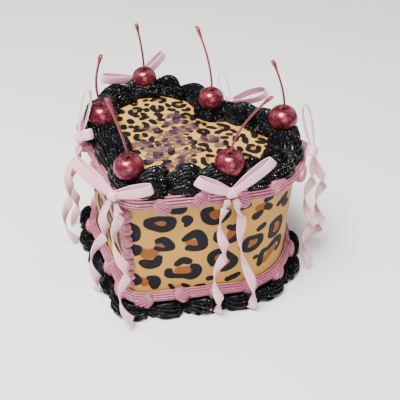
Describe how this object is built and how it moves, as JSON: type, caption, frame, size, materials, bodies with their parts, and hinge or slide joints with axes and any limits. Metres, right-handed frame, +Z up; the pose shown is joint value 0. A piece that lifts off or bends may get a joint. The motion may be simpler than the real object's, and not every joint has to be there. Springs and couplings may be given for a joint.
{
  "type": "heart-shaped celebration cake",
  "caption": "Tall heart-shaped cake covered in a leopard print, with black and pink piped borders, cherries on stems and ribbon bows.",
  "frame": {"origin": "on the underside, on the line between the lobes, halfway from the wall's tip to the lobes' far side", "axes": "+Z up, +Y from the heart's tip to its cleft, +X to the right half as seen from the tip"},
  "size_m": [0.207, 0.1912, 0.1728],
  "materials": {
    "printed_sheet": "matte edible sheet with a leopard print in black and brown on tan",
    "black_cream": "smooth piped cream with silver glitter",
    "pink_cream": "smooth piped cream with a soft sheen and a little glitter",
    "cherry": "wet glossy skin dusted with pink and silver glitter",
    "satin_ribbon": "satin"
  },
  "bodies": {
    "root": {"cake": "printed_sheet", "top_black_border": "black_cream", "foot_black_border": "black_cream", "top_pink_rope": "pink_cream", "foot_pink_rope": "pink_cream", "corner_piping": "pink_cream", "cherry_tip": "cherry", "cherry_side_right": "cherry", "cherry_side_left": "cherry", "cherry_lobe_right": "cherry", "cherry_lobe_left": "cherry", "cherry_cleft": "cherry", "bow_tip": "satin_ribbon", "bow_side_right": "satin_ribbon", "bow_side_left": "satin_ribbon", "bow_lobe_right": "satin_ribbon", "bow_lobe_left": "satin_ribbon", "bow_cleft": "satin_ribbon", "tail_tip_a": "satin_ribbon", "tail_tip_b": "satin_ribbon", "tail_side_right_a": "satin_ribbon", "tail_side_right_b": "satin_ribbon", "tail_side_left_a": "satin_ribbon", "tail_side_left_b": "satin_ribbon", "tail_lobe_right_a": "satin_ribbon", "tail_lobe_right_b": "satin_ribbon", "tail_lobe_left_a": "satin_ribbon", "tail_lobe_left_b": "satin_ribbon", "tail_cleft_a": "satin_ribbon", "tail_cleft_b": "satin_ribbon"}
  },
  "joints": []
}
